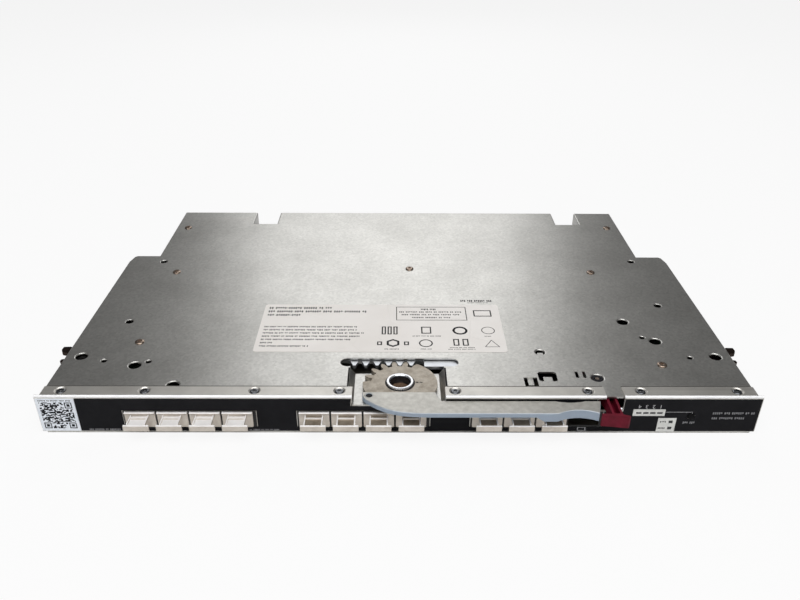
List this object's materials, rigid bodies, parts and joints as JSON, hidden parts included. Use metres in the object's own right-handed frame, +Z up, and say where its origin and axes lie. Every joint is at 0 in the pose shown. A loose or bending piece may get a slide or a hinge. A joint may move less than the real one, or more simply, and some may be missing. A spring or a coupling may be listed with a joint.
{
  "type": "network pass-through module",
  "caption": "Flat steel interconnect module with a geared ejector lever, side claws, thumb latch and a row of capped network ports along its front face.",
  "frame": {"origin": "middle of the resting face, the underside of the bottom cover; the faceplate's front plane is 128 mm towards -Y", "axes": "+X to the right seen from the front, +Y from the faceplate to the rear connectors, +Z up through the labelled pan"},
  "size_m": [0.4068, 0.2723, 0.025],
  "materials": {
    "zinc_sheet": "galvanised, satin",
    "face_sheet": "plated, satin",
    "black_film": "satin",
    "pale_label": "matte",
    "pale_sticker": "matte",
    "lens": "gloss",
    "board_green": "satin",
    "post_steel": "turned",
    "nickel": "nickel plated",
    "chip_black": "matte",
    "contact_gold": "plated",
    "sink_metal": "extruded",
    "connector_black": "satin",
    "gear_steel": "blanked, mottled",
    "handle_metal": "bead blasted",
    "bright_chrome": "polished",
    "claw_dark": "dark finish",
    "maroon_plastic": "satin",
    "spring_steel": "drawn wire",
    "screw_steel": "plated",
    "screw_brown": "brown plated",
    "button_dark": "satin"
  },
  "bodies": {
    "chassis": {"base_pan": "zinc_sheet", "bottom_cover": "zinc_sheet", "faceplate": "face_sheet", "front_film": "black_film", "code_sticker": "pale_sticker", "indicator_plates": "pale_label", "light_pipes": "lens", "rating_label": "pale_label", "circuit_board": "board_green", "chassis_pillars": "post_steel", "board_standoffs": "post_steel", "port_cages": "nickel", "socket_tongues": "contact_gold", "port_plugs": "nickel", "board_chips": "chip_black", "heat_sink": "sink_metal", "rear_connectors": "connector_black", "bar_clips": "zinc_sheet", "claw_posts": "post_steel", "claw_rings": "spring_steel", "pivot_bushing": "bright_chrome", "latch_screw": "screw_steel", "latch_bracket": "zinc_sheet", "latch_spring": "spring_steel", "button_switch": "chip_black", "flange_screws": "screw_steel", "pan_screws": "screw_brown", "cover_screws": "screw_steel"},
    "lever": {"lever_handle": "handle_metal", "gear_sector": "gear_steel", "handle_rivets": "post_steel"},
    "drive_bar_body": {"drive_bar": "zinc_sheet"},
    "claw_left_body": {"claw_left": "claw_dark"},
    "claw_right_body": {"claw_right": "claw_dark"},
    "latch_body": {"release_latch": "maroon_plastic", "latch_stud": "screw_steel"},
    "button_body": {"mode_button": "button_dark"}
  },
  "joints": [
    {"name": "lever_turn", "type": "hinge", "parent": "chassis", "child": "lever", "pos_m": [0, -0.1114, 0.0213], "axis": [0, 0, 1], "range_deg": [-60, 0]},
    {"name": "bar_slide", "type": "slide", "parent": "chassis", "child": "drive_bar_body", "axis": [1, 0, 0], "range_m": [0, 0.0198]},
    {"name": "claw_left_turn", "type": "hinge", "parent": "chassis", "child": "claw_left_body", "pos_m": [-0.1857, -0.0877, 0.0183], "axis": [0, 0, 1], "range_deg": [-40.01, 0]},
    {"name": "claw_right_turn", "type": "hinge", "parent": "chassis", "child": "claw_right_body", "pos_m": [0.1857, -0.0877, 0.0183], "axis": [0, 0, 1], "range_deg": [0, 40.01]},
    {"name": "latch_turn", "type": "hinge", "parent": "chassis", "child": "latch_body", "pos_m": [0.1111, -0.1089, 0.0192], "axis": [0, 0, 1], "range_deg": [0, 7], "stiffness_Nm_per_rad": 0.4, "springref_deg": -5.73, "deforming": ["latch_spring"]},
    {"name": "button_press", "type": "slide", "parent": "chassis", "child": "button_body", "axis": [0, 1, 0], "range_m": [0, 0.0008], "stiffness_N_per_m": 400, "springref_m": -0.001}
  ],
  "couplings": [
    {"joint": "bar_slide", "follows": "lever_turn", "m_per_rad": -0.0189},
    {"joint": "claw_left_turn", "follows": "lever_turn", "ratio": 0.66667},
    {"joint": "claw_right_turn", "follows": "lever_turn", "ratio": -0.66667}
  ]
}
